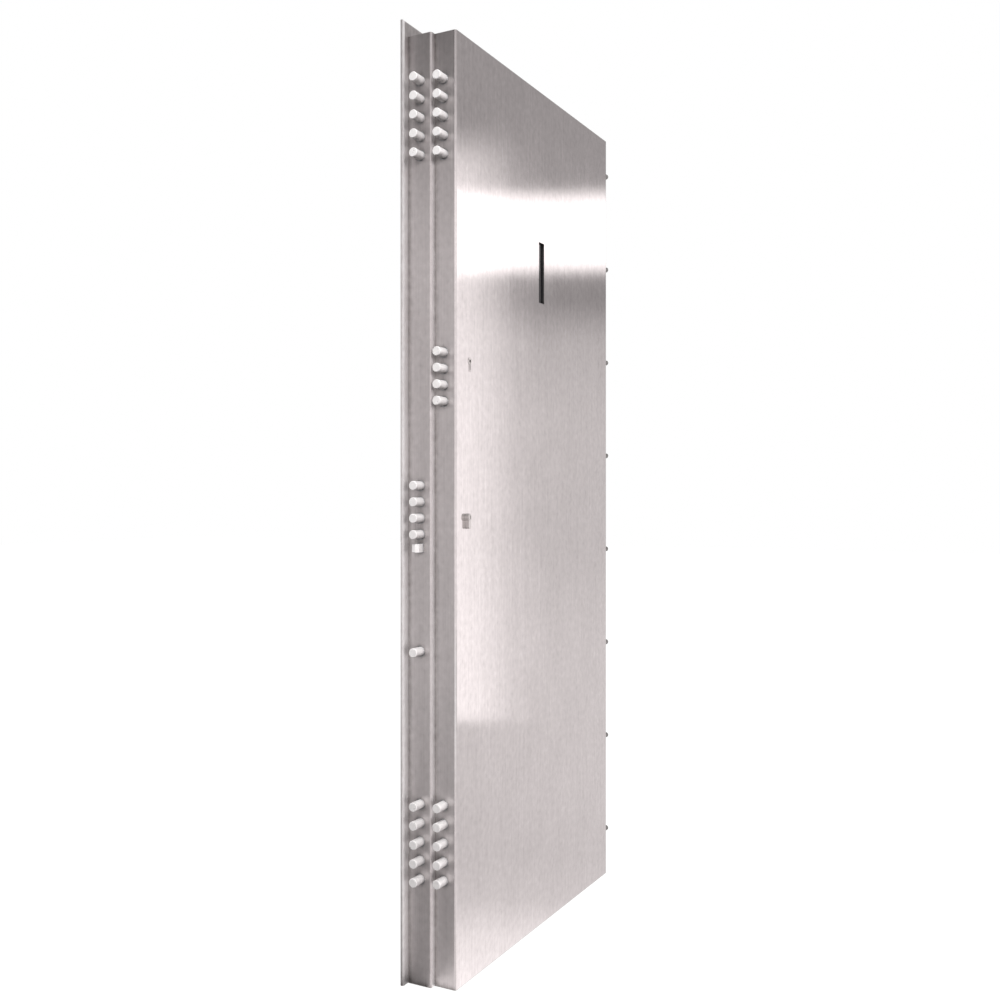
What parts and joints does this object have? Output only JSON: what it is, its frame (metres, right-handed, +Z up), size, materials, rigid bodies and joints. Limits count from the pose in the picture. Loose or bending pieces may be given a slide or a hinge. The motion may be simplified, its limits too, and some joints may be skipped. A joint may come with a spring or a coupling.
{
  "type": "security door leaf",
  "caption": "Hollow brushed steel security door leaf with a stepped lock edge, rows of sliding round bolts, a latch, a narrow vision slit and barrel hinge halves.",
  "frame": {"origin": "on the hinge axis, at the seat under the lowest hinge knuckle", "axes": "+X across the leaf from its lock edge to its hinge edge, +Y from its front face to its flanged back, +Z up"},
  "size_m": [0.94, 0.1426, 2.081],
  "materials": {
    "brushed_sheet": "brushed stainless sheet, vertical grain",
    "bolt_steel": "polished round bar",
    "pin_steel": "blackened",
    "case_steel": "zinc-plated",
    "slit_black": "matt black",
    "slit_glass": "dark laminated",
    "cylinder_nickel": "satin nickel plate",
    "hinge_steel": "turned steel"
  },
  "bodies": {
    "leaf": {"front_sheet": "brushed_sheet", "lock_rear_edge": "brushed_sheet", "hinge_rear_edge": "brushed_sheet", "outer_sheet": "brushed_sheet", "top_front_rail": "brushed_sheet", "top_rear_rail": "brushed_sheet", "bottom_front_rail": "brushed_sheet", "bottom_rear_rail": "brushed_sheet", "front_top_bolt_case": "case_steel", "front_lock_case": "case_steel", "front_bottom_bolt_case": "case_steel", "rear_top_bolt_case": "case_steel", "rear_lock_case": "case_steel", "rear_bottom_bolt_case": "case_steel", "night_bolt_case": "case_steel", "lower_hinge": "hinge_steel", "middle_hinge": "hinge_steel", "upper_hinge": "hinge_steel", "hinge_caps": "hinge_steel", "vision_slit_liner": "slit_black", "vision_slit_glass": "slit_glass", "lock_cylinder": "cylinder_nickel", "cylinder_plugs": "cylinder_nickel", "hinge_side_pins": "pin_steel"},
    "front_top_group": {"front_top_bolts": "bolt_steel"},
    "front_lock_group": {"front_lock_bolts": "bolt_steel"},
    "front_bottom_group": {"front_bottom_bolts": "bolt_steel"},
    "rear_top_group": {"rear_top_bolts": "bolt_steel"},
    "rear_lock_group": {"rear_lock_bolts": "bolt_steel"},
    "rear_bottom_group": {"rear_bottom_bolts": "bolt_steel"},
    "night_bolt_group": {"night_bolt": "bolt_steel"},
    "latch_group": {"latch_bolt": "bolt_steel"}
  },
  "joints": [
    {"name": "front_top_throw", "type": "slide", "parent": "leaf", "child": "front_top_group", "axis": [1, 0, 0], "range_m": [0, 0.03]},
    {"name": "front_lock_throw", "type": "slide", "parent": "leaf", "child": "front_lock_group", "axis": [1, 0, 0], "range_m": [0, 0.03]},
    {"name": "front_bottom_throw", "type": "slide", "parent": "leaf", "child": "front_bottom_group", "axis": [1, 0, 0], "range_m": [0, 0.03]},
    {"name": "rear_top_throw", "type": "slide", "parent": "leaf", "child": "rear_top_group", "axis": [1, 0, 0], "range_m": [0, 0.03]},
    {"name": "rear_lock_throw", "type": "slide", "parent": "leaf", "child": "rear_lock_group", "axis": [1, 0, 0], "range_m": [0, 0.03]},
    {"name": "rear_bottom_throw", "type": "slide", "parent": "leaf", "child": "rear_bottom_group", "axis": [1, 0, 0], "range_m": [0, 0.03]},
    {"name": "night_bolt_throw", "type": "slide", "parent": "leaf", "child": "night_bolt_group", "axis": [1, 0, 0], "range_m": [0, 0.03]},
    {"name": "latch_slide", "type": "slide", "parent": "leaf", "child": "latch_group", "axis": [1, 0, 0], "range_m": [0, 0.022], "stiffness_N_per_m": 200, "springref_m": -0.01}
  ],
  "couplings": [
    {"joint": "front_top_throw", "follows": "front_lock_throw", "ratio": 1},
    {"joint": "front_bottom_throw", "follows": "front_lock_throw", "ratio": 1},
    {"joint": "rear_top_throw", "follows": "rear_lock_throw", "ratio": 1},
    {"joint": "rear_bottom_throw", "follows": "rear_lock_throw", "ratio": 1}
  ]
}
